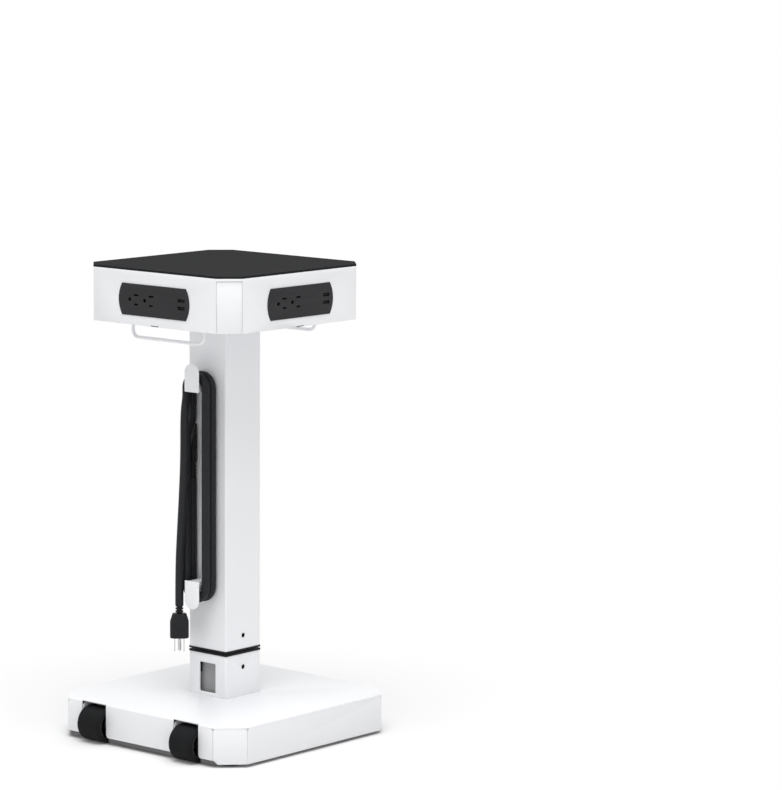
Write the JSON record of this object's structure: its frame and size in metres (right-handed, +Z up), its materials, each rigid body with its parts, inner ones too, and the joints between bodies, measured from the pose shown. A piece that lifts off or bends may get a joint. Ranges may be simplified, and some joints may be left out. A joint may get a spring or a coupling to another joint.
{
  "type": "height-adjustable charging tower",
  "caption": "Square wheeled base, telescoping square column and a flat-topped head with outlet and port plates on its sides, two hanger bars below and a cord wound on column hooks.",
  "frame": {"origin": "on the floor, at the middle of the footprint with the wheels that stand out of it", "axes": "+Z up along the column, -Y towards the side with the wheels and the power cord, +X towards the side with the two set screws; the column's axis is 7 mm from the origin along +Y"},
  "size_m": [0.34, 0.354, 0.657],
  "materials": {
    "white_paint": "satin powder coat",
    "top_laminate": "matte",
    "module_black": "fine satin",
    "outlet_black": "satin",
    "guide_nylon": "satin",
    "cord_jacket": "satin",
    "plug_black": "moulded satin",
    "plated_steel": "plated",
    "bolt_steel": "plain",
    "zinc_steel": "zinc plated",
    "tyre_rubber": "matte",
    "hub_plastic": "satin",
    "ballast_paint": "satin",
    "glide_rubber": "matte",
    "box_plastic": "matte"
  },
  "bodies": {
    "base": {"axle_left": "bolt_steel", "axle_right": "bolt_steel", "ballast_plate": "ballast_paint", "base_cover": "white_paint", "bracket_screws": "bolt_steel", "collar": "white_paint", "collar_bushing": "guide_nylon", "collar_insert": "bolt_steel", "collar_set_screw": "bolt_steel", "column_flange": "ballast_paint", "cover_posts": "zinc_steel", "cover_screws": "bolt_steel", "flange_bolts": "bolt_steel", "glides": "glide_rubber", "inner_column": "white_paint", "top_guide": "guide_nylon", "wheel_bracket_left": "white_paint", "wheel_bracket_right": "white_paint"},
    "upper": {"cable_entry": "plug_black", "cable_hood": "plug_black", "column_bushing": "guide_nylon", "column_insert": "bolt_steel", "column_set_screw": "bolt_steel", "cord_coil": "cord_jacket", "cord_hook_lower": "white_paint", "cord_hook_upper": "white_paint", "cord_tail": "cord_jacket", "corner_panels": "white_paint", "faceplate_back": "module_black", "faceplate_front": "module_black", "faceplate_left": "module_black", "faceplate_right": "module_black", "hanger_bar_back": "white_paint", "hanger_bar_front": "white_paint", "head_floor": "white_paint", "head_shell": "white_paint", "hook_screws": "bolt_steel", "junction_box": "box_plastic", "junction_box_lid": "box_plastic", "mount_bolts": "bolt_steel", "mount_plate": "zinc_steel", "outer_column": "white_paint", "outlet_body_back": "outlet_black", "outlet_body_front": "outlet_black", "outlet_body_left": "outlet_black", "outlet_body_right": "outlet_black", "plug_blades": "plated_steel", "plug_body": "plug_black", "plug_relief": "plug_black", "stop_plate": "guide_nylon", "top_plate": "top_laminate", "usb_shells": "plated_steel", "usb_tongues": "outlet_black"},
    "wheel_left": {"tyre_left": "tyre_rubber", "hub_left": "hub_plastic"},
    "wheel_right": {"tyre_right": "tyre_rubber", "hub_right": "hub_plastic"}
  },
  "joints": [
    {"name": "lift", "type": "slide", "parent": "base", "child": "upper", "axis": [0, 0, 1], "range_m": [0, 0.333]},
    {"name": "wheel_left_spin", "type": "hinge", "parent": "base", "child": "wheel_left", "pos_m": [-0.087, -0.1524, 0.0249], "axis": [1, 0, 0], "continuous": true},
    {"name": "wheel_right_spin", "type": "hinge", "parent": "base", "child": "wheel_right", "pos_m": [0.087, -0.1524, 0.0249], "axis": [1, 0, 0], "continuous": true}
  ]
}
